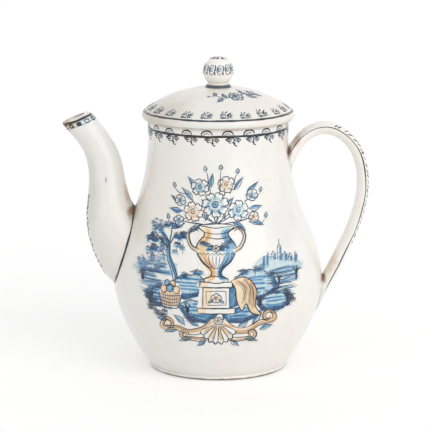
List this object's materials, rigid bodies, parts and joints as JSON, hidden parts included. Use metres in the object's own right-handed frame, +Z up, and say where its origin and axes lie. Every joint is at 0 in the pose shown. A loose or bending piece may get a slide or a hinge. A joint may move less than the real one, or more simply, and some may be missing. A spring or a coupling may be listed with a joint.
{
  "type": "faience coffee pot",
  "caption": "Pear-shaped glazed ceramic coffee pot with a curved pouring spout, a looped strap handle and a loose domed lid with a ball knob, for serving hot drinks.",
  "frame": {"origin": "centre of the face that the pot stands on", "axes": "+Z up along the body's axis, -X towards the spout, +X towards the handle, Y across"},
  "size_m": [0.2244, 0.1532, 0.23],
  "materials": {
    "pot_glaze": "glossy cream-white tin glaze",
    "foot_clay": "worn glaze over bare clay",
    "lid_glaze": "glossy cream-white tin glaze",
    "collar_blue": "glossy dark blue-grey paint under glaze"
  },
  "bodies": {
    "pot": {"pot_body": "pot_glaze", "strainer_disc": "pot_glaze", "foot_ring": "foot_clay", "pouring_spout": "pot_glaze", "strap_handle": "pot_glaze"},
    "lid": {"lid_cover": "lid_glaze", "lid_flange": "lid_glaze", "knob_collar": "collar_blue", "ball_knob": "lid_glaze"}
  },
  "joints": [
    {"name": "lid_lift", "type": "slide", "parent": "pot", "child": "lid", "axis": [0, 0, 1], "range_m": [0, 0.06]}
  ]
}
